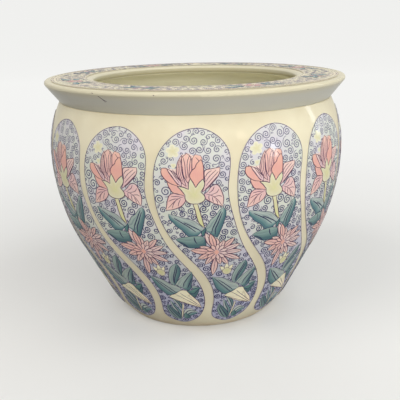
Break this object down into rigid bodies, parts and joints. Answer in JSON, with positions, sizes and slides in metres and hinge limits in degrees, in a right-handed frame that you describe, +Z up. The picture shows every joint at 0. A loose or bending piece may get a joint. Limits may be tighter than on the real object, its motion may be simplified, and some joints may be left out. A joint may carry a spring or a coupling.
{
  "type": "planter",
  "caption": "Round glazed porcelain planter with a wide flat painted rim, a tapering bowl on a foot ring, and leaning painted flower panels round the wall.",
  "frame": {"origin": "centre of the foot ring's flat bottom, on the surface that the pot stands on", "axes": "+Z up along the axis that the pot was turned about; panel_01 faces -Y, and the others follow it counter-clockwise seen from above"},
  "size_m": [0.305, 0.305, 0.2472],
  "materials": {
    "bare_foot": "bare fired clay, smooth",
    "glazed_body": "clear ivory glaze, glossy",
    "border_enamel": "painted enamel, glossy",
    "panel_enamel": "painted enamel, glossy"
  },
  "bodies": {
    "root": {"foot_ring": "bare_foot", "lower_bowl": "glazed_body", "upper_wall": "glazed_body", "rim_flange": "glazed_body", "rim_border": "border_enamel", "panel_01": "panel_enamel", "panel_02": "panel_enamel", "panel_03": "panel_enamel", "panel_04": "panel_enamel", "panel_05": "panel_enamel", "panel_06": "panel_enamel", "panel_07": "panel_enamel", "panel_08": "panel_enamel", "panel_09": "panel_enamel", "panel_10": "panel_enamel", "panel_11": "panel_enamel", "panel_12": "panel_enamel", "panel_13": "panel_enamel"}
  },
  "joints": []
}
